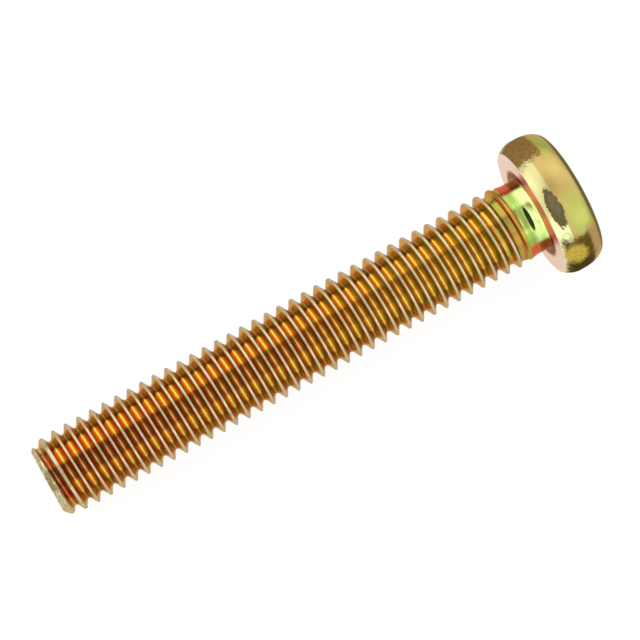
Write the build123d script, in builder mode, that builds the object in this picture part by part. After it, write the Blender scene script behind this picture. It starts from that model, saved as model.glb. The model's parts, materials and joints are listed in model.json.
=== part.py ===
"""Button head screw with a hexagon socket and a right-hand M6 x 1 thread, lying as it comes to rest.

The real screw is headed cold from one length of steel wire and its thread is rolled, so it is one solid.
It is built upright, with the head's bearing face on Z = 0 and the shank hanging below it. It is then laid
down on the rim of its head and the crest of its last full turn, with the head towards +X.
"""

import math
import os

from build123d import *

# Head, in millimetres. Its edge has a slightly bulging chamfer below and a long elliptical round above.
head_diameter = 10.4
head_height = 3.2
upper_round_width = 0.9  # across, from the rim in to the flat round the socket
upper_round_height = 1.7
chamfer_width = 0.45  # across, from the rim in to the bearing face
chamfer_height = 0.95
chamfer_bulge = 0.07

# Hexagon socket
socket_across_flats = 4.05
socket_depth = 2.1  # straight sides, below the top flat
socket_lead_in = 0.4  # hexagonal chamfer round the mouth
socket_floor_angle = 130.0  # the floor is a shallow cone

# Neck, and the depths below the bearing face at which the thread runs out into it
neck_step = 0.225  # from the crest in to the neck
neck_fillet = 0.25
crest_runout_end = 1.05
crest_runout_start = 2.2
root_runout_end = 1.77
root_runout_start = 3.54

# Thread
length_under_head = 39.0
thread_diameter = 5.95
thread_pitch = 1.0
flank_angle = 60.0
depth_share = 0.59  # the groove's depth, as a share of the pitch
crest_share = 1 / 8  # the flat on the crest, as a share of the pitch
groove_end = 0.814  # depth below the bearing face at which the groove's centre line stops

# Tip: the crest is low over the last stretch, and then chamfered at 45 degrees
low_crest_length = 1.65
low_crest_step = 0.275  # from the full crest in to the low one
tip_step = 0.595  # from the full crest in to the end face's edge

head_radius = head_diameter / 2
top_flat_radius = head_radius - upper_round_width
bearing_radius = head_radius - chamfer_width
upper_round_start = head_height - upper_round_height
thread_radius = thread_diameter / 2
root_radius = thread_radius - depth_share * thread_pitch
neck_radius = thread_radius - neck_step
tip_radius = thread_radius - tip_step

joint_depth = neck_fillet + 0.2  # the head's block ends here and the shank's begins
clear = head_diameter  # a radius or a length that is clear of everything
overrun = 3 * thread_pitch  # spare shank below the tip, cut away once the thread is in it


def flank_run(distance):
    """How far a flank moves along the screw while it moves this far out from the axis."""
    return distance * math.tan(math.radians(flank_angle / 2))


# One length of the thread's groove, swept along its helix. It stands a little proud of the crest.
turns_per_cut = 10
cut_length = turns_per_cut * thread_pitch
groove_cuts = math.ceil((length_under_head + thread_pitch - groove_end) / cut_length)
proud = 0.08 * thread_pitch
mouth_half = thread_pitch * (1 - crest_share) / 2 + flank_run(proud)
floor_half = mouth_half - flank_run(thread_radius - root_radius + proud)

with BuildPart() as groove:
    with BuildLine() as helix:
        Helix(pitch=thread_pitch, height=cut_length, radius=thread_radius)
    with BuildSketch(Plane.XZ):
        Polygon(
            (thread_radius + proud, -mouth_half),
            (thread_radius + proud, mouth_half),
            (root_radius, floor_half),
            (root_radius, -floor_half),
            align=None,
        )
    sweep(path=helix.line, is_frenet=True)

# The shank starts as a rod too long at both ends, so that every cut of the groove starts and ends inside it
groove_bottom = -groove_end - groove_cuts * cut_length
with BuildPart() as shank:
    rod_bottom = min(groove_bottom, -length_under_head) - overrun
    with Locations((0, 0, rod_bottom)):
        Cylinder(thread_radius, -rod_bottom, align=(Align.CENTER, Align.CENTER, Align.MIN))
    for cut in range(groove_cuts):
        with Locations((0, 0, groove_bottom + cut * cut_length)):
            add(groove.part, mode=Mode.SUBTRACT)

    # A cone fills the groove's end, so that the root climbs to the neck
    root_slope = (neck_radius - root_radius) / (root_runout_start - root_runout_end)
    cone_top = neck_radius + root_slope * root_runout_end
    cone_bottom_depth = root_runout_start + 0.6 * thread_pitch
    with BuildSketch(Plane.XZ):
        Polygon(
            (0, 0),
            (cone_top, 0),
            (cone_top - root_slope * cone_bottom_depth, -cone_bottom_depth),
            (0, -cone_bottom_depth),
            align=None,
        )
    revolve(axis=Axis.Z)

    # Cut square where the head's block begins
    with BuildSketch(Plane.XZ):
        Polygon((0, -joint_depth), (clear, -joint_depth), (clear, clear), (0, clear), align=None)
    revolve(axis=Axis.Z, mode=Mode.SUBTRACT)

    # The crest of the last turns is low
    low_slope = low_crest_step / low_crest_length
    low_top = low_crest_length - length_under_head
    with BuildSketch(Plane.XZ):
        Polygon(
            (clear, low_top + (clear - thread_radius) / low_slope),
            (thread_radius - low_slope * (low_top - rod_bottom), rod_bottom),
            (clear, rod_bottom),
            align=None,
        )
    revolve(axis=Axis.Z, mode=Mode.SUBTRACT)

    # The chamfer at the tip
    with BuildSketch(Plane.XZ):
        Polygon(
            (0, -length_under_head),
            (tip_radius, -length_under_head),
            (clear, -length_under_head + clear - tip_radius),
            (clear, clear),
            (0, clear),
            align=None,
        )
    revolve(axis=Axis.Z, mode=Mode.INTERSECT)

    # The plain neck, and the crest's slope up from it
    crest_slope = neck_step / (crest_runout_start - crest_runout_end)
    with BuildSketch(Plane.XZ):
        Polygon(
            (clear, clear),
            (neck_radius, clear),
            (neck_radius, -crest_runout_end),
            (clear, -crest_runout_end - (clear - neck_radius) / crest_slope),
            align=None,
        )
    revolve(axis=Axis.Z, mode=Mode.SUBTRACT)

# The socket's punch: a hexagon with a conical end, and a hexagonal lead-in
with BuildPart() as punch:
    with BuildSketch(Plane.XY.offset(head_height)):
        RegularPolygon(socket_across_flats / 2, 6, major_radius=False)
    extrude(amount=-head_height)
    with BuildSketch(Plane.XZ):
        corner = socket_across_flats / 2 / math.cos(math.radians(30))
        floor_height = head_height - socket_depth
        cone_depth = corner / math.tan(math.radians(socket_floor_angle / 2))
        Polygon(
            (0, clear),
            (0, floor_height - cone_depth),
            (corner, floor_height),
            (corner, clear),
            align=None,
        )
    revolve(axis=Axis.Z, mode=Mode.INTERSECT)
    with BuildSketch(Plane.XY.offset(head_height)):
        RegularPolygon(socket_across_flats / 2 + socket_lead_in, 6, major_radius=False)
    with BuildSketch(Plane.XY.offset(head_height - socket_lead_in)):
        RegularPolygon(socket_across_flats / 2, 6, major_radius=False)
    loft()

# The head, its fillet and the start of the neck, turned in one, with the shank below
with BuildPart() as upright:
    with BuildSketch(Plane.XZ):
        with BuildLine():
            Polyline((0, head_height), (0, -joint_depth), (neck_radius, -joint_depth), (neck_radius, -neck_fillet))
            TangentArc((neck_radius, -neck_fillet), (neck_radius + neck_fillet, 0), tangent=(0, 1))
            Line((neck_radius + neck_fillet, 0), (bearing_radius, 0))
            SagittaArc((bearing_radius, 0), (head_radius, chamfer_height), -chamfer_bulge)
            Line((head_radius, chamfer_height), (head_radius, upper_round_start))
            EllipticalCenterArc(
                (top_flat_radius, upper_round_start), upper_round_width, upper_round_height, arc_size=90
            )
            Line((top_flat_radius, head_height), (0, head_height))
        make_face()
    revolve(axis=Axis.Z)
    add(punch.part, mode=Mode.SUBTRACT)
    add(shank.part)

# At rest the screw touches the floor with the lower edge of its rim and with its last full crest
rest_tilt = math.atan2(head_radius - thread_radius, chamfer_height - low_top)
rest_height = thread_radius * math.cos(rest_tilt) - low_top * math.sin(rest_tilt)
tip_reach = length_under_head * math.cos(rest_tilt) + tip_radius * math.sin(rest_tilt)
round_reach = math.hypot(upper_round_height * math.cos(rest_tilt), upper_round_width * math.sin(rest_tilt))
head_reach = upper_round_start * math.cos(rest_tilt) + top_flat_radius * math.sin(rest_tilt) + round_reach
end_centre = (head_reach - tip_reach) / 2

with BuildPart() as screw:
    with Locations(Location((-end_centre, 0, rest_height), (0, 90 - math.degrees(rest_tilt), 0))):
        add(upright.part)

os.makedirs("parts", exist_ok=True)
screw.part.label = "screw"
export_step(screw.part, "parts/screw.step")
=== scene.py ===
"""Button head socket screw: its turned head, hexagon socket and rolled thread, its iridescent yellow plating,
and a plain white stage with soft lights.

The shape is worked out in millimetres, upright, with the bearing face at height 0. It is then laid down in
metres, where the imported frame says.
"""

import json
import math

import bmesh
import bpy
from mathutils import Matrix, Vector


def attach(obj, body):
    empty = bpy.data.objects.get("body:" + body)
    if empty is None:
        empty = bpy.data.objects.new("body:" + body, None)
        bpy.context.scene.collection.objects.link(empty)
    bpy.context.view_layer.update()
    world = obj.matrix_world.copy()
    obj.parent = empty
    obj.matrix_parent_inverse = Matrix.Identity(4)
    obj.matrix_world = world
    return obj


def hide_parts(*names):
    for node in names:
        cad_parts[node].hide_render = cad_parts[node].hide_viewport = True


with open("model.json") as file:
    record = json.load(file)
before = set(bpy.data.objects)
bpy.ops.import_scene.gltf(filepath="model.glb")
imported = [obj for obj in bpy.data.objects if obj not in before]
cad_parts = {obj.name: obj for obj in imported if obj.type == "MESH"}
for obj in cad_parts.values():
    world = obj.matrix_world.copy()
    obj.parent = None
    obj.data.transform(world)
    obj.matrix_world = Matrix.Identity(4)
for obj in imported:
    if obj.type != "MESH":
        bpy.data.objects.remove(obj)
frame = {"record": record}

bl_info = {
    "name": "Button Head Socket Screw",
    "version": (1, 0, 0),
    "blender": (4, 5, 0),
    "location": "View3D > Sidebar > Screw",
    "description": "Makes and plates a button head socket screw on its packed frame, and lights it on white",
    "category": "Object",
}

MM = 0.001

# Where the bearing face's centre lies and which way the head points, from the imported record
seat = next(mount for mount in frame["record"]["mounts"] if mount["name"] == "seat")
toward_head = -Vector(seat["axis"]).normalized()
seat_centre = Vector((seat["pos_m"][0], 0, seat["pos_m"][2]))

# Shape details in millimetres that go with the sizes below
UPPER_ROUND = (0.9, 1.7)  # across, from the rim in to the top flat, and along the screw
CHAMFER = (0.45, 0.95)  # across, from the rim in to the bearing face, and along the screw
CHAMFER_BULGE = 0.07
SOCKET_LEAD_IN = 0.4
SOCKET_FLOOR_ANGLE = math.radians(130)
TOP_JOINT = 3.6  # radius on the top flat where the turned head meets the socket's cut
NECK_STEP = 0.225  # from the crest in to the neck
NECK_FILLET = 0.25
NECK_JOINT = 0.45  # depth below the bearing face where the turned head meets the rolled shank
CREST_RUNOUT = (1.05, 2.2)  # depths where the crest reaches the neck and where it is full
ROOT_RUNOUT = (1.77, 3.54)
LOW_CREST = (1.65, 0.275)  # length at the tip and how much lower the crest gets over it
TIP_STEP = 0.595  # from the crest in to the end face's edge
TURN_START = 0.814  # depth of the groove's centre line where one of its turns starts, on the +X side
DEPTH_SHARE = 0.59  # the groove's depth and the crest's flat, as shares of the pitch
CREST_SHARE = 1 / 8
FLANK_SLOPE = math.tan(math.radians(30))
CREST_ROUNDING = 0.07  # how far from the crest's and the root's corners their rounding reaches
ROOT_ROUNDING = 0.11

AROUND = 96  # faces round the screw; a multiple of 6, so that the socket's corners fall on its edges
ROUND_STEPS = 16  # faces over the head's upper round
SMALL_STEPS = 6  # faces over the fillet, and over the chamfer
SAME_POINT = 0.001  # points nearer than this count as one
SHARP_EDGE = math.radians(28)  # edges that turn by more than this stay sharp

FACING_ANGLE = math.radians(-164)  # the side of the screw that is turned to the camera
QUARTER_TURN = math.radians(90)
WHITE = (1, 1, 1, 1)
GLANCING_TINT = (0.88, 0.66, 0.50, 1)  # what the plating's mirrored light turns to at glancing angles


def round_arc(centre, reach, start, end, steps):
    """Points on an arc, from one angle to the other, that reaches this far across and along."""
    turns = [start + (end - start) * step / steps for step in range(steps + 1)]
    return [(centre[0] + reach[0] * math.cos(turn), centre[1] + reach[1] * math.sin(turn)) for turn in turns]


def bulged_line(start, end, bulge, steps):
    """Points from start to end on a shallow curve that bulges to the right of the way there."""
    run = Vector(end) - Vector(start)
    aside = Vector((run.y, -run.x)).normalized()
    shares = [step / steps for step in range(steps + 1)]
    return [tuple(Vector(start) + run * share + aside * bulge * 4 * share * (1 - share)) for share in shares]


def soft_min(first, second, reach):
    """The smaller of two values, rounded off where they are within reach of each other."""
    overlap = max(reach - abs(first - second), 0) / reach
    return min(first, second) - overlap * overlap * reach / 4


def spin_profile(mesh, points, rise=0):
    """Turns a line of (radius, height) points round the screw's axis, rising by that much in the turn."""
    verts = [mesh.verts.new((radius, 0, height)) for radius, height in points]
    edges = [mesh.edges.new(pair) for pair in zip(verts, verts[1:])]
    bmesh.ops.spin(
        mesh, geom=verts + edges, cent=(0, 0, 0), axis=(0, 0, 1), dvec=(0, 0, rise / AROUND),
        angle=2 * math.pi, steps=AROUND, use_merge=False, use_duplicate=False,
    )


def length(label, note, millimetres):
    """A size that a user may change, held in metres."""
    return bpy.props.FloatProperty(name=label, description=note, default=millimetres * MM, unit="LENGTH")


def colour(label, note, value):
    """A colour that a user may change."""
    return bpy.props.FloatVectorProperty(
        name=label, description=note, default=value, subtype="COLOR", size=3, min=0, max=1
    )


class ScrewSizes(bpy.types.PropertyGroup):
    """The screw's main sizes."""

    head_diameter: length("Head diameter", "Across the head's rim", 10.4)
    head_height: length("Head height", "From the bearing face to the top flat", 3.2)
    across_flats: length("Socket", "The socket's size across its flats", 4.05)
    socket_depth: length("Socket depth", "Straight sides, below the top flat", 2.1)
    thread_diameter: length("Thread diameter", "Across the thread's crests", 5.95)
    pitch: length("Pitch", "From one turn of the thread to the next", 1.0)
    length: length("Length", "Under the head", 39.0)


class PlatingLook(bpy.types.PropertyGroup):
    """The plating's colours, which drift into each other over the screw. Several of them are painted
    highlight, reflection and shade.
    """

    crest: colour("Crest", "Thin plating on the thread's crests", (0.54, 0.51, 0.31))
    # Partly painted dark reflection: dulls the crests in the band turned to the camera, and at random
    crest_dark: colour("Dull crest", "Duller olive on the crests", (0.33, 0.31, 0.15))
    # wall, maroon, amber, brown and olive colour the flanks by which way they face and where they lie along
    # the screw: partly painted reflection
    wall: colour("Wall", "Deep plating on the thread's flanks", (0.46, 0.11, 0.03))
    # Painted reflection: the flanks' colour on the screw's sides, away from the camera
    side_reflection: colour("Ember", "Flanks away from the light", (0.54, 0.28, 0.035))
    maroon: colour("Maroon", "Flanks that face the tip, near it", (0.40, 0.09, 0.03))
    amber: colour("Amber", "Flanks that face the head, near it", (0.43, 0.17, 0.035))
    brown: colour("Brown", "Flanks that face the tip", (0.29, 0.17, 0.04))
    # Partly painted reflection: drifts over the flanks on the screw's sides; on the top flat, a speckle of
    # the plating's own colour
    rose_speckle_and_side_reflection: colour("Rose", "Drifts on the flanks away from the light", (0.62, 0.33, 0.09))
    blush: colour("Blush", "Drifts of pink on the crests", (0.66, 0.48, 0.36))
    # Painted reflection: grey crests along the screw's outline, as the camera sees it
    apex: colour("Apex", "Grey crests, away from the light", (0.42, 0.42, 0.38))
    olive: colour("Olive", "Flanks that face the tip, near the head", (0.29, 0.32, 0.045))
    # Partly painted highlight: roots are bright only in the zone turned to the camera, orange on its upper
    # side and yellow on its lower side; dusk is their painted dark reflection
    root_upper: colour("Upper root", "Bottom of the groove, on the upper side", (0.79, 0.46, 0.07))
    root_lower: colour("Lower root", "Bottom of the groove, on the lower side", (0.70, 0.49, 0.09))
    dusk: colour("Dusk", "Mauve-brown on the roots' darkest side", (0.34, 0.16, 0.08))
    gold: colour("Gold", "Where the thread runs out", (0.41, 0.30, 0.055))
    tip: colour("Tip", "Pale olive on the chamfered tip", (0.64, 0.60, 0.38))
    tip_patch: colour("Tip's patch", "Brown on the chamfered tip", (0.32, 0.25, 0.11))
    # Partly painted highlight: the neck's green shows only on the side turned to the camera
    neck: colour("Neck", "Green on the plain neck", (0.31, 0.47, 0.105))
    neck_pale: colour("Pale neck", "Paler green beside the head", (0.66, 0.93, 0.31))
    shade: colour("Shade", "Red on the neck's sides", (0.62, 0.10, 0.05))
    # Painted shade: the neck's sides near the head, the fillet's sides, and the flanks' dark band and lower
    # side
    painted_shade_brown: colour("Painted shade", "Dark brown on the neck's sides", (0.20, 0.055, 0.02))
    # Painted dark reflection of a small nick on the neck, and painted shade along the head's lower outline
    nick_reflection_and_outline_shade: colour("Nick and outline shade", "Dark nick on the neck", (0.02, 0.032, 0.01))
    # Painted reflection: red only on the side turned to the camera, on the fillet and the bearing face beside
    # it
    fillet: colour("Fillet", "Red where the neck meets the head", (0.88, 0.17, 0.20))
    bearing: colour("Bearing face", "Pale pink under the head", (0.92, 0.80, 0.74))
    chamfer: colour("Chamfer", "Pale yellow on the rim's chamfer", (0.59, 0.54, 0.25))
    chamfer_green: colour("Chamfer's green", "Greener yellow on its lower side", (0.70, 0.76, 0.38))
    gold_rim: colour("Rim", "Gold on the rim and the round above it", (0.48, 0.35, 0.115))
    green: colour("Green", "Drifts of green on the rim", (0.34, 0.50, 0.09))
    tan: colour("Tan", "Drifts of tan on the rim", (0.42, 0.26, 0.11))
    # Painted dark reflection: a thin line round the top of the rim
    olive_line: colour("Olive line", "Thin dark line round the top of the rim", (0.10, 0.11, 0.04))
    face: colour("Face", "Matt brown on the top flat", (0.34, 0.15, 0.085))
    face_orange: colour("Face's orange", "Orange drifts on the top flat", (0.46, 0.19, 0.06))
    face_olive: colour("Face's olive", "Olive drifts on the top flat", (0.22, 0.20, 0.06))
    mouth: colour("Mouth", "Pale pink on the socket's lead-in", (0.66, 0.40, 0.28))
    # Painted shade in the socket: its dark walls and the darker middle of its floor
    socket_wall: colour("Socket's walls", "Dark olive on the socket's sides", (0.14, 0.15, 0.04))
    socket_heart: colour("Socket's heart", "Darker green at the middle of its floor", (0.12, 0.22, 0.07))
    socket: colour("Socket", "Olive inside the socket", (0.36, 0.38, 0.08))
    bronze: colour("Bronze stain", "Rough brown patch on the rim", (0.30, 0.17, 0.045))
    # Partly painted: dark speckle on the brown patch, painted shade along the head's upper outline, and a
    # painted dark reflection on the chamfer
    dark_speckle_and_shade: colour("Smoky stain", "Rough dark patch on the chamfer", (0.13, 0.10, 0.04))
    # Painted reflection: the grey heart of the dark reflection on the chamfer
    reflection_grey_heart: colour("Reflection's grey", "Grey heart of the smoky stain", (0.23, 0.19, 0.11))
    moss: colour("Mossy stain", "Dark olive patch on the rim", (0.12, 0.075, 0.015))
    mustard: colour("Mustard stain", "Yellow heart of the mossy patch", (0.63, 0.49, 0.09))
    roughness: bpy.props.FloatProperty(
        name="Roughness", description="Of the smooth plating", default=0.22, min=0, max=1, subtype="FACTOR"
    )


class StageSetup(bpy.types.PropertyGroup):
    """The camera's place and lens."""

    azimuth: bpy.props.FloatProperty(
        name="Azimuth", description="Round from the front", default=math.radians(-29.317), unit="ROTATION"
    )
    elevation: bpy.props.FloatProperty(
        name="Elevation", description="Above the floor", default=math.radians(71.728), unit="ROTATION"
    )
    distance: bpy.props.FloatProperty(
        name="Distance", description="From the point looked at", default=197.86 * MM, unit="LENGTH"
    )
    lens: bpy.props.FloatProperty(
        name="Lens", description="Focal length, on a 36 mm sensor", default=157.95, unit="CAMERA"
    )
    aim: bpy.props.FloatVectorProperty(
        name="Aim", description="The point looked at", subtype="XYZ", size=3, unit="LENGTH",
        default=(1.028 * MM, 0.726 * MM, 4.013 * MM),
    )


def millimetres(sizes):
    """The sizes that the shape is worked out from, in millimetres."""
    return {name: getattr(sizes, name) / MM for name in ScrewSizes.__annotations__}


def head_outline(size, neck):
    """The head from the neck up its fillet, across the bearing face and over the rim to the top flat."""
    rim = size["head_diameter"] / 2
    top = size["head_height"]
    fillet_centre = (neck + NECK_FILLET, -NECK_FILLET)
    fillet = round_arc(fillet_centre, (NECK_FILLET, NECK_FILLET), 2 * QUARTER_TURN, QUARTER_TURN, SMALL_STEPS)
    chamfer = bulged_line((rim - CHAMFER[0], 0), (rim, CHAMFER[1]), CHAMFER_BULGE, SMALL_STEPS)
    upper_centre = (rim - UPPER_ROUND[0], top - UPPER_ROUND[1])
    upper = round_arc(upper_centre, UPPER_ROUND, 0, QUARTER_TURN, ROUND_STEPS)
    return [(neck, -NECK_JOINT), *fillet, *chamfer, *upper, (TOP_JOINT, top)]


def hexagon_reach(angle):
    """How many times further out a hexagon's side is at this angle than at the middle of its flat."""
    return 1 / math.cos((angle % (math.pi / 3)) - math.pi / 6)


def cut_socket(mesh, size):
    """The hexagonal mouth, its lead-in, the straight sides and the floor's shallow cone."""
    apothem = size["across_flats"] / 2
    top = size["head_height"]
    corner = apothem / math.cos(math.pi / 6)
    floor = top - size["socket_depth"]
    cone = 1 / math.tan(SOCKET_FLOOR_ANGLE / 2)
    before = set(mesh.verts)
    mouth = [(TOP_JOINT, top), (apothem + SOCKET_LEAD_IN, top), (apothem, top - SOCKET_LEAD_IN)]
    floor_rings = [(apothem * step / 4, 0) for step in (3, 2, 1, 0)]
    spin_profile(mesh, [*mouth, (apothem, floor), *floor_rings])
    for vert in set(mesh.verts) - before:
        radius = math.hypot(vert.co.x, vert.co.y)
        if apothem - SAME_POINT <= radius < TOP_JOINT - SAME_POINT:
            reach = hexagon_reach(math.atan2(vert.co.y, vert.co.x))
            vert.co.x *= reach
            vert.co.y *= reach
            radius *= reach
        if vert.co.z < floor + SAME_POINT:
            vert.co.z = floor - (corner - radius) * cone


def groove_mouth(pitch):
    """Half the groove's width at the crest."""
    return pitch * (1 - CREST_SHARE) / 2


def groove_radius(along, crest, root, pitch):
    """The thread's radius this far along the screw from the middle of the groove."""
    flank = crest - (groove_mouth(pitch) - abs(along)) / FLANK_SLOPE
    filled = -soft_min(-flank, -root, ROOT_ROUNDING)
    return soft_min(filled, crest, CREST_ROUNDING)


def groove_stations(pitch, depth):
    """Places across one turn of the groove, closest together where its corners are rounded."""
    mouth = groove_mouth(pitch)
    floor = mouth - depth * FLANK_SLOPE
    crest_bend = CREST_ROUNDING * FLANK_SLOPE
    root_bend = ROOT_ROUNDING * FLANK_SLOPE
    near_floor = [floor / 2, floor - root_bend, floor, floor + root_bend]
    near_mouth = [mouth - crest_bend, mouth - crest_bend / 2, mouth]
    half = sorted([*near_floor, (floor + mouth) / 2, *near_mouth])
    return [-place for place in reversed(half)] + [0, *half, pitch / 2]


def roll_thread(mesh, size):
    """The threaded shank: a line across every turn, spun up the helix, and held in by run-outs and tip."""
    pitch = size["pitch"]
    crest = size["thread_diameter"] / 2
    root = crest - DEPTH_SHARE * pitch
    neck = crest - NECK_STEP
    tip = crest - TIP_STEP
    under_head = size["length"]
    turns = math.ceil(under_head / pitch) + 3  # some are spare: what is past the shank's ends is pressed flat
    stations = groove_stations(pitch, crest - root)
    before = set(mesh.verts)
    line = []
    for turn in range(turns):
        middle = (turn + 2 - turns) * pitch - TURN_START
        line += [(groove_radius(place, crest, root, pitch), middle + place) for place in stations]
    spin_profile(mesh, line, rise=pitch)
    crest_slope = NECK_STEP / (CREST_RUNOUT[1] - CREST_RUNOUT[0])
    root_slope = (neck - root) / (ROOT_RUNOUT[1] - ROOT_RUNOUT[0])
    low_slope = LOW_CREST[1] / LOW_CREST[0]
    for vert in set(mesh.verts) - before:
        vert.co.z = min(max(vert.co.z, -under_head), -NECK_JOINT)
        depth = -vert.co.z
        radius = math.hypot(vert.co.x, vert.co.y)
        held = max(radius, root + (ROOT_RUNOUT[1] - depth) * root_slope)
        held = min(
            held,
            neck + max(depth - CREST_RUNOUT[0], 0) * crest_slope,
            crest - max(depth - under_head + LOW_CREST[0], 0) * low_slope,
            tip + under_head - depth,
        )
        vert.co.x *= held / radius
        vert.co.y *= held / radius


class OBJECT_OT_make_screw(bpy.types.Operator):
    """Turn the head, cut the socket, roll the thread and lay the plated screw on the floor"""

    bl_idname = "object.make_screw"
    bl_label = "Make the screw"

    def execute(self, context):
        size = millimetres(context.scene.screw_sizes)
        neck = size["thread_diameter"] / 2 - NECK_STEP
        shape = bmesh.new()
        spin_profile(shape, head_outline(size, neck))
        cut_socket(shape, size)
        roll_thread(shape, size)
        bmesh.ops.remove_doubles(shape, verts=shape.verts, dist=SAME_POINT)
        end_face_edges = [edge for edge in shape.edges if edge.is_boundary]
        bmesh.ops.edgeloop_fill(shape, edges=end_face_edges)
        bmesh.ops.recalc_face_normals(shape, faces=shape.faces)
        placement = lay_down(toward_head, seat_centre)
        bmesh.ops.transform(shape, matrix=placement, verts=shape.verts)
        for face in shape.faces:
            face.smooth = True
        for edge in shape.edges:
            if edge.is_manifold and edge.calc_face_angle() > SHARP_EDGE:
                edge.smooth = False
        mesh = bpy.data.meshes.new("button_head_screw")
        shape.to_mesh(mesh)
        shape.free()
        screw = bpy.data.objects.new("button_head_screw", mesh)
        context.scene.collection.objects.link(screw)
        mesh.materials.append(yellow_plating(context.scene.plating_look, placement, size))
        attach(screw, "root")
        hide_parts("screw")
        return {"FINISHED"}


def lay_down(axis, origin):
    """From millimetres, upright with the bearing face at zero, to the screw's place on the floor."""
    tilt = math.atan2(axis.z, axis.x)
    turn = Matrix.Rotation(QUARTER_TURN - tilt, 4, "Y")
    return Matrix.Translation(origin) @ turn @ Matrix.Scale(MM, 4)


class Field:
    """A value that varies over a surface. Arithmetic on it adds the Math nodes that it stands for."""

    def __init__(self, tree, socket):
        self.tree = tree
        self.socket = socket

    @classmethod
    def node(cls, tree, kind, settings=None, values=None, output=0):
        """Adds a node: its settings first, then the values or links of its sockets."""
        made = tree.nodes.new(kind)
        for name, value in (settings or {}).items():
            setattr(made, name, value)
        for key, value in (values or {}).items():
            if isinstance(value, Field):
                tree.links.new(value.socket, made.inputs[key])
            else:
                made.inputs[key].default_value = value
        return cls(tree, made.outputs[output] if made.outputs else None)

    def math(self, operation, *values):
        return Field.node(self.tree, "ShaderNodeMath", {"operation": operation}, dict(enumerate(values)))

    def __add__(self, other):
        return self.math("ADD", self, other)

    __radd__ = __add__

    def __sub__(self, other):
        return self.math("SUBTRACT", self, other)

    def __rsub__(self, other):
        return self.math("SUBTRACT", other, self)

    def __mul__(self, other):
        return self.math("MULTIPLY", self, other)

    __rmul__ = __mul__

    def __truediv__(self, other):
        return self.math("DIVIDE", self, other)

    def __pow__(self, other):
        return self.math("POWER", self, other)

    def split(self):
        """The three numbers of a vector."""
        parts = Field.node(self.tree, "ShaderNodeSeparateXYZ", None, {0: self})
        return [Field(self.tree, socket) for socket in parts.socket.node.outputs]

    def step(self, low, high):
        """Climbs smoothly from 0 at low to 1 at high."""
        return Field.node(
            self.tree, "ShaderNodeMapRange", {"interpolation_type": "SMOOTHSTEP"},
            {"Value": self, "From Min": low, "From Max": high},
        )

    def band(self, low, high, edge):
        """1 between low and high, fading to 0 over the edge at each side."""
        return self.step(low - edge, low + edge) * (1 - self.step(high - edge, high + edge))

    def blend(self, first, second):
        """The first colour where this is 0 and the second where it is 1."""
        values = {0: self}
        for key, paint in ((6, first), (7, second)):
            values[key] = paint if isinstance(paint, Field) else (*paint, 1.0)
        return Field.node(self.tree, "ShaderNodeMix", {"data_type": "RGBA"}, values, output=2)


def new_material(name):
    material = bpy.data.materials.new(name)
    material.use_nodes = True
    material.node_tree.nodes.clear()
    return material, material.node_tree


class Spot:
    """Where a surface point lies on the upright screw, in millimetres, with noises for ragged edges.

    Heights are measured from the bearing face, so they are below 0 on the neck and the thread. Angles are
    measured round the screw from the side that is turned to the camera.
    """

    def __init__(self, tree, placement):
        self.tree = tree
        self.place = Field.node(
            tree, "ShaderNodeMapping", {"vector_type": "TEXTURE"},
            {
                "Vector": Field.node(tree, "ShaderNodeTexCoord", output="Object"),
                "Location": placement.to_translation(),
                "Rotation": placement.to_euler(),
                "Scale": (MM, MM, MM),
            },
        )
        self.across, self.sideways, self.height = self.place.split()
        self.radius = (self.across * self.across + self.sideways * self.sideways) ** 0.5
        # Noises, from the finest to the broadest. A scale of 1 is a blotch of about a millimetre.
        self.grain = self.noise(7.0, 3.0, 0.6)
        self.cloud = self.noise(2.2, 3.0)
        self.drift = self.noise(0.8, 2.0)
        self.large = self.noise(0.35, 1.0)
        axis = placement.to_3x3().col[2].normalized()
        self.facing_head = Field.node(
            tree, "ShaderNodeVectorMath", {"operation": "DOT_PRODUCT"},
            {0: Field.node(tree, "ShaderNodeTexCoord", output="Normal"), 1: axis}, output="Value",
        )
        self.turned = self.facing(0)

    def noise(self, scale, detail, roughness=0.5):
        return Field.node(
            self.tree, "ShaderNodeTexNoise", None,
            {"Vector": self.place, "Scale": scale, "Detail": detail, "Roughness": roughness},
        )

    def facing(self, angle):
        """1 on the side this far round from the side turned to the camera, and -1 on the opposite side."""
        towards = FACING_ANGLE + angle
        return (self.across * math.cos(towards) + self.sideways * math.sin(towards)) / self.radius

    def distance(self, angle, radius, height):
        """How far away a point is that lies this far round from the camera's side."""
        towards = FACING_ANGLE + angle
        across = self.across - radius * math.cos(towards)
        sideways = self.sideways - radius * math.sin(towards)
        along = self.height - height
        return (across * across + sideways * sideways + along * along) ** 0.5

    def across_flats(self):
        """The distance from the axis, measured square to the nearest flat of the socket."""
        reach = 0
        for degrees in (30, 90, 150):
            turn = math.radians(degrees)
            aside = self.across * math.cos(turn) + self.sideways * math.sin(turn)
            reach = aside.math("MAXIMUM", aside.math("ABSOLUTE", aside), reach)
        return reach

    def patch(self, angle, reach, low, high, ragged=0.1, edge=0.15):
        """1 on a patch that reaches this far to both sides of the angle, between two heights."""
        wander = (self.cloud - 0.5) * ragged + (self.grain - 0.5) * ragged * 0.8
        outer, inner = math.cos(reach * (1 + edge)), math.cos(reach * (1 - edge))
        inside = (self.facing(angle) + wander).step(outer, inner)
        return inside * (self.height + (self.cloud - 0.5) * ragged * 5).band(low, high, edge)

    def oval(self, angle, reach, middle, half_height, ragged=0.1, edge=0.2):
        """1 on an oval patch round this angle and height, with a ragged or a soft edge."""
        aside = (1 - self.facing(angle)) * (2 / reach ** 2)
        rise = (self.height - middle) / half_height
        wander = (self.cloud - 0.5) * ragged * 8 + (self.grain - 0.5) * ragged * 5
        return (1 - aside - rise * rise + wander).step(-edge, edge)


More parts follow.
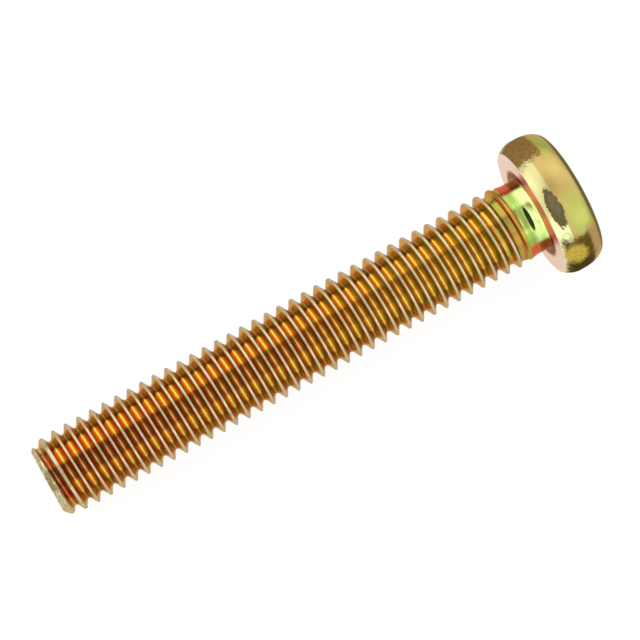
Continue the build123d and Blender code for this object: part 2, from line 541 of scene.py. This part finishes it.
def thread_colour(spot, look, size):
    """Pale crests, red flanks towards the head, brown ones towards the tip, and orange and yellow roots, much
    of it painted highlight, reflection and shade.
    """
    crest = size["thread_diameter"] / 2
    tip = -size["length"]
    low_crest = spot.height.step(tip + LOW_CREST[0], tip) * LOW_CREST[1]
    full_depth = DEPTH_SHARE * size["pitch"]
    groove = (crest - low_crest - spot.radius) / full_depth  # 0 on the crest and 1 at the root
    lower_side = spot.facing(QUARTER_TURN)
    # Painted light: level and lit mark the zone turned to the camera, where the roots are painted bright;
    # beyond it, on the screw's sides, flanks and roots take painted reflection colours
    level = spot.turned * spot.turned
    lit = level.step(0.38, 0.52)
    along = spot.height + spot.drift * 8
    near_head = along.step(-18.0, -2.0)
    # Painted dark reflection: a band down the side turned to the camera, fading towards the head
    dim = lower_side.band(-0.25, 0.35, 0.06) * (1 - along.step(-32.0, 0.0) * 0.65)

    # Partly painted reflection: flanks facing the tip and flanks facing the head get their own colours, which
    # change along the screw
    to_tip = along.step(-36.0, -16.0).blend(look.maroon, look.brown)
    to_tip = near_head.blend(to_tip, look.olive)
    to_head = near_head.blend(look.wall, look.amber)
    wall = spot.facing_head.step(-0.2, 0.2).blend(to_tip, to_head)
    # Painted shade: the flanks darken in the dark band and on the lower side
    wall = (dim * 0.65 + lower_side.step(0.2, 0.4) * 0.2).blend(wall, look.painted_shade_brown)
    # Painted reflection: the flanks on the screw's sides take these colours
    side_reflection = spot.cloud.step(0.4, 0.6).blend(look.side_reflection, look.rose_speckle_and_side_reflection)
    wall = lit.blend(side_reflection, wall)

    # Painted highlight: orange roots on the upper side and yellow on the lower side; brown on the screw's
    # sides and mauve-brown in the dark band are painted reflection
    root = lower_side.step(-0.3, 0.3).blend(look.root_upper, look.root_lower)
    root = lit.blend(look.brown, root)
    root = (dim * 0.75).blend(root, look.dusk)

    # Partly painted dark reflection: crests dull in the dark band, and at random
    pale = (dim * 0.6 + spot.cloud.step(0.4, 0.7) * 0.5).blend(look.crest, look.crest_dark)
    pale = (spot.drift.step(0.45, 0.65) * spot.cloud.step(0.3, 0.7)).blend(pale, look.blush)
    # Painted reflection: grey crests along the screw's outline
    pale = level.step(0.03, 0.15).blend(look.apex, pale)

    thread = groove.step(0.05, 0.22).blend(pale, wall)
    thread = groove.step(0.74, 0.95).blend(thread, root)
    runout = spot.height.step(-CREST_RUNOUT[1] - 0.3, -CREST_RUNOUT[1])
    thread = runout.blend(thread, spot.height.band(-2.02, -1.88, 0.05).blend(look.gold, look.wall))
    end = (spot.height + (spot.cloud - 0.5) * 0.5).step(tip + 0.7, tip + 0.45)
    thread = end.blend(thread, spot.grain.step(0.35, 0.65).blend(look.tip, look.crest_dark))
    off_the_end_face = spot.radius.step(crest - TIP_STEP - 0.18, crest - TIP_STEP)
    patch = spot.patch(0.05, 0.3, tip - 0.5, tip + 0.7, 0.25, 0.3) * off_the_end_face
    return patch.blend(thread, look.tip_patch), groove


def neck_colour(spot, look, size):
    """A pale green neck with red-brown sides, and a red fillet that fades to pale pink under the head, set by
    the side turned to the camera: partly painted highlight, reflection and shade.
    """
    radius = size["thread_diameter"] / 2 - NECK_STEP
    rim = size["head_diameter"] / 2
    # Painted shade and reflection: red and dark brown on the neck's sides
    side = spot.height.step(-0.95, -0.7).blend(look.shade, look.painted_shade_brown)
    green = spot.height.step(-1.05, -0.6).blend(look.neck, look.neck_pale)
    # Painted highlight: the green neck only on the side turned to the camera
    neck = spot.turned.step(0.62, 0.76).blend(side, green)
    # Painted dark reflection of a small nick on the neck
    neck = spot.oval(0.09, 0.34, -0.81, 0.17, 0.02, 0.25).blend(neck, look.nick_reflection_and_outline_shade)
    # Painted reflection and shade: the fillet is red on the side turned to the camera and dark brown on its
    # sides; the bearing face beside the neck is red on that side too
    fillet = spot.turned.step(0.60, 0.80).blend(look.painted_shade_brown, look.fillet)
    paint = spot.radius.step(radius + 0.09, radius + 0.17).blend(neck, fillet)
    red = spot.turned.step(0.70, 0.92) * (1 - spot.radius.step(rim - 1.2, rim - 0.5) * 0.7)
    bearing = red.blend(look.bearing, look.fillet)
    on_bearing = spot.radius.step(radius + 0.45, radius + 0.85) * spot.height.step(-0.3, -0.1)
    return on_bearing.blend(paint, bearing)


def edge_colour(spot, look, size):
    """The head's edge: a pale yellow chamfer, gold that drifts to green and tan, a dark upper line that is a
    painted reflection, and a faint ring from a painted highlight.
    """
    top = size["head_height"]
    drifts = (
        (look.green, spot.oval(-0.91, 0.28, 2.35, 0.55, 0.05, 0.6), 0.5),
        (look.green, spot.oval(0.34, 0.36, 2.05, 0.85, 0.05, 0.8), 0.5),
        (look.tan, spot.oval(0.82, 0.30, 2.4, 0.65, 0.1, 0.5), 0.8),
        # Painted dark reflection round the top of the rim
        (look.olive_line, spot.height.band(top - 0.34, top - 0.01, 0.05), 0.9),
    )
    gold = look.gold_rim
    for paint, mask, strength in drifts:
        gold = (mask * strength).blend(gold, paint)
    chamfer = spot.facing(QUARTER_TURN).step(0.1, 0.4).blend(look.chamfer, look.chamfer_green)
    edge = spot.height.step(CHAMFER[1] - 0.02, CHAMFER[1] + 0.11).blend(chamfer, gold)
    # Painted highlight: a faint bronze ring, the outline of a small round highlight on the chamfer
    ring = spot.distance(0.54, 5.05, 0.6).band(0.24, 0.34, 0.05) * 0.35
    return ring.blend(edge, look.bronze)


def end_colour(spot, look, size, edge):
    """The matt, mottled top flat, the pale lead-in round the socket and the olive inside it, with painted
    shade on the socket's walls and the middle of its floor.
    """
    flat = spot.drift.step(0.46, 0.60).blend(look.face, look.face_orange)
    flat = (spot.large * 0.7 + spot.cloud * 0.3).step(0.52, 0.62).blend(flat, look.face_olive)
    flat = (spot.grain.step(0.4, 0.65) * 0.45).blend(flat, look.rose_speckle_and_side_reflection)
    top = size["head_height"]
    paint = spot.height.step(top - 0.06, top - 0.01).blend(edge, flat)
    reach = spot.across_flats()
    half = size["across_flats"] / 2
    mouth = 1 - reach.step(half + SOCKET_LEAD_IN + 0.02, half + SOCKET_LEAD_IN + 0.06)
    paint = (mouth * spot.height.step(top - 0.6, top - 0.5)).blend(paint, look.mouth)
    inside = 1 - reach.step(half + 0.02, half + 0.06)
    floor = top - size["socket_depth"]
    # Painted shade: the floor darker at its middle and the walls dark
    lower = spot.radius.step(0.2, 1.6).blend(look.socket_heart, look.socket)
    lower = spot.height.step(floor - 0.1, floor + 0.1).blend(lower, look.socket_wall)
    return (inside * spot.height.step(-0.2, -0.1)).blend(paint, lower)


def edge_stains_and_shades(spot, look):
    """Rough patches on the head's edge, each with its colour: stains, painted shade along the outline and a
    painted dark reflection. Later ones lie over earlier ones.
    """
    solid = 0.85 + spot.grain * 0.3
    speckle = spot.grain.step(0.42, 0.58)
    brown_patch = spot.patch(-1.06, 0.36, -0.1, 1.95)
    return (
        (look.bronze, brown_patch * solid),
        (look.dark_speckle_and_shade, brown_patch * speckle * 0.45),
        # Painted shade along the head's upper outline
        (look.dark_speckle_and_shade, spot.patch(-1.55, 0.22, 0.0, 2.0, 0.1, 0.4) * 0.6),
        # Painted dark reflection on the chamfer, on a rough patch, with its grey heart
        (look.dark_speckle_and_shade, spot.oval(0.09, 0.30, 0.70, 0.48, 0.16) * solid),
        (look.reflection_grey_heart, spot.oval(0.04, 0.15, 0.75, 0.27, 0.1, 0.5) * (0.75 - speckle * 0.45)),
        (look.moss, spot.patch(1.12, 0.50, 0.15, 2.2) * solid),
        (look.mustard, spot.oval(0.92, 0.21, 0.85, 0.85, 0.15, 0.5) * (1 - speckle * 0.3)),
        # Painted shade along the head's lower outline
        (look.nick_reflection_and_outline_shade, spot.patch(1.48, 0.36, 0.3, 2.1, 0.1, 0.4) * 0.8),
    )


def yellow_plating(look, placement, size):
    """Chromated zinc: pale crests, orange grooves, a green neck, and a golden head with rough stains, with
    painted highlights, reflections and shade among its colours.
    """
    material, tree = new_material("yellow_zinc_plating")
    spot = Spot(tree, placement)
    thread, groove = thread_colour(spot, look, size)
    edge = edge_colour(spot, look, size)
    rim = size["head_diameter"] / 2
    top = size["head_height"]
    on_edge = spot.radius.step(rim - 1.2, rim - 1.0) * spot.height.step(0.0, 0.04)
    stain_and_shade_marks = 0
    # The marks are stains, and also painted shade and painted reflection
    for stain, mask in edge_stains_and_shades(spot, look):
        edge = mask.blend(edge, stain)
        stain_and_shade_marks = mask * on_edge + stain_and_shade_marks
    head = on_edge.blend(neck_colour(spot, look, size), edge)
    head = end_colour(spot, look, size, head)
    paint = spot.height.step(-1.62, -1.5).blend(thread, head)
    matt = spot.height.step(top - 0.1, top - 0.02)
    rough = (1 - groove.step(0.05, 0.3)) * 0.16 + stain_and_shade_marks * 0.2 + matt * 0.2 + look.roughness
    bump = Field.node(
        tree, "ShaderNodeBump", None,
        {"Strength": 0.35, "Distance": 0.02 * MM, "Height": spot.grain + stain_and_shade_marks * spot.cloud * 2},
    )
    shader = Field.node(
        tree, "ShaderNodeBsdfPrincipled", None,
        {
            "Base Color": paint, "Metallic": 1.0, "Roughness": rough, "Normal": bump,
            "Specular Tint": GLANCING_TINT,
        },
    )
    Field.node(tree, "ShaderNodeOutputMaterial", None, {"Surface": shader})
    return material


def white_surface(name):
    """A pale floor that is white to the eye, dimmer in reflections, and still takes a soft shadow."""
    material, tree = new_material(name)
    rays = ("Is Camera Ray", "Is Glossy Ray", "Is Transmission Ray")
    camera, glossy, through = (Field.node(tree, "ShaderNodeLightPath", output=ray) for ray in rays)
    east, north, _ = Field.node(tree, "ShaderNodeTexCoord", output="Object").split()
    near = ((east * east + north * north) ** 0.5).step(0.09, 0.03)  # 1 within 3 cm and 0 beyond 9 cm
    glowing = camera * (0.85 - near * 0.15) + (glossy + through) * (0.1 + near * 0.55)
    matt = Field.node(tree, "ShaderNodeBsdfDiffuse", None, {"Color": (0.5, 0.5, 0.5, 1)})
    glow = Field.node(tree, "ShaderNodeEmission", None, {"Color": WHITE, "Strength": 1.25})
    surface = Field.node(tree, "ShaderNodeMixShader", None, {0: glowing, 1: matt, 2: glow})
    Field.node(tree, "ShaderNodeOutputMaterial", None, {"Surface": surface})
    return material


def white_world(name, level):
    """Surroundings that are white to the eye and light the screw at a low level."""
    world = bpy.data.worlds.new(name)
    world.use_nodes = True
    tree = world.node_tree
    tree.nodes.clear()
    camera = Field.node(tree, "ShaderNodeLightPath", output="Is Camera Ray")
    dim = Field.node(tree, "ShaderNodeBackground", None, {"Color": WHITE, "Strength": level})
    bright = Field.node(tree, "ShaderNodeBackground", None, {"Color": WHITE, "Strength": 1.0})
    surface = Field.node(tree, "ShaderNodeMixShader", None, {0: camera, 1: dim, 2: bright})
    Field.node(tree, "ShaderNodeOutputWorld", None, {"Surface": surface})
    return world


def softbox(name, toward, distance, width, height, level):
    """A rectangular soft light that faces the screw. At a level of 1 a mirror shows it as white."""
    light = bpy.data.lights.new(name, "AREA")
    light.shape = "RECTANGLE"
    light.size = width
    light.size_y = height
    light.energy = level * math.pi * width * height
    lamp = bpy.data.objects.new(name, light)
    lamp.location = Vector(toward).normalized() * distance
    lamp.rotation_euler = lamp.location.to_track_quat("Z", "Y").to_euler()
    lamp.visible_camera = False
    bpy.context.scene.collection.objects.link(lamp)


class SCENE_OT_set_screw_stage(bpy.types.Operator):
    """Lay the white floor, hang the soft lights and place the camera"""

    bl_idname = "scene.set_screw_stage"
    bl_label = "Set the stage"

    def execute(self, context):
        self.lay_floor(context)
        self.hang_lights(context)
        self.place_camera(context)
        context.scene.view_settings.view_transform = "Standard"
        return {"FINISHED"}

    def lay_floor(self, context):
        ground = bmesh.new()
        bmesh.ops.create_circle(ground, cap_ends=True, segments=64, radius=3.0)
        mesh = bpy.data.meshes.new("white_floor")
        ground.to_mesh(mesh)
        ground.free()
        floor = bpy.data.objects.new("white_floor", mesh)
        context.scene.collection.objects.link(floor)
        mesh.materials.append(white_surface("white_floor_paint"))

    def hang_lights(self, context):
        # Each has the way to it from the screw, its distance, width and height in metres, and its level
        softbox("far_side_softbox", (-0.08, 0.745, 0.66), 0.7, 2.0, 0.8, 1.5)
        softbox("near_side_softbox", (-0.03, -0.94, 0.34), 0.7, 2.0, 0.5, 1.2)
        softbox("head_end_softbox", (0.482, -0.233, 0.845), 0.7, 1.24, 0.78, 1.15)
        softbox("low_head_end_softbox", (0.939, -0.080, 0.336), 0.7, 1.3, 0.34, 1.0)
        softbox("top_softbox", (-0.393, -0.258, 0.882), 0.72, 0.86, 0.6, 0.85)
        softbox("tip_end_softbox", (-0.93, -0.116, 0.354), 0.7, 1.4, 0.5, 1.2)
        context.scene.world = white_world("white_surroundings", 0.12)

    def place_camera(self, context):
        setup = context.scene.screw_stage
        azimuth = setup.azimuth
        level = math.cos(setup.elevation)
        back = Vector((math.sin(azimuth) * level, -math.cos(azimuth) * level, math.sin(setup.elevation)))
        lens = bpy.data.cameras.new("camera")
        lens.lens = setup.lens
        lens.sensor_width = 36
        lens.clip_start = 0.01
        camera = bpy.data.objects.new("camera", lens)
        camera.location = Vector(setup.aim) + back * setup.distance
        camera.rotation_euler = back.to_track_quat("Z", "Y").to_euler()
        context.scene.collection.objects.link(camera)
        context.scene.camera = camera


class VIEW3D_PT_screw(bpy.types.Panel):
    """The screw's sizes and finish, and the buttons that make it"""

    bl_label = "Button Head Socket Screw"
    bl_idname = "VIEW3D_PT_screw"
    bl_space_type = "VIEW_3D"
    bl_region_type = "UI"
    bl_category = "Screw"

    def draw(self, context):
        for group in (context.scene.screw_sizes, context.scene.plating_look, context.scene.screw_stage):
            for name in group.bl_rna.properties.keys():
                if name not in ("rna_type", "name"):
                    self.layout.prop(group, name)
        self.layout.operator(OBJECT_OT_make_screw.bl_idname)
        self.layout.operator(SCENE_OT_set_screw_stage.bl_idname)


CLASSES = (
    ScrewSizes, PlatingLook, StageSetup, OBJECT_OT_make_screw, SCENE_OT_set_screw_stage, VIEW3D_PT_screw,
)


def register():
    for item in CLASSES:
        bpy.utils.register_class(item)
    bpy.types.Scene.screw_sizes = bpy.props.PointerProperty(type=ScrewSizes)
    bpy.types.Scene.plating_look = bpy.props.PointerProperty(type=PlatingLook)
    bpy.types.Scene.screw_stage = bpy.props.PointerProperty(type=StageSetup)


def unregister():
    del bpy.types.Scene.screw_stage
    del bpy.types.Scene.plating_look
    del bpy.types.Scene.screw_sizes
    for item in reversed(CLASSES):
        bpy.utils.unregister_class(item)


def main():
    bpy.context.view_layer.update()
    register()
    bpy.ops.object.make_screw()
    bpy.ops.scene.set_screw_stage()


if __name__ == "__main__":
    main()
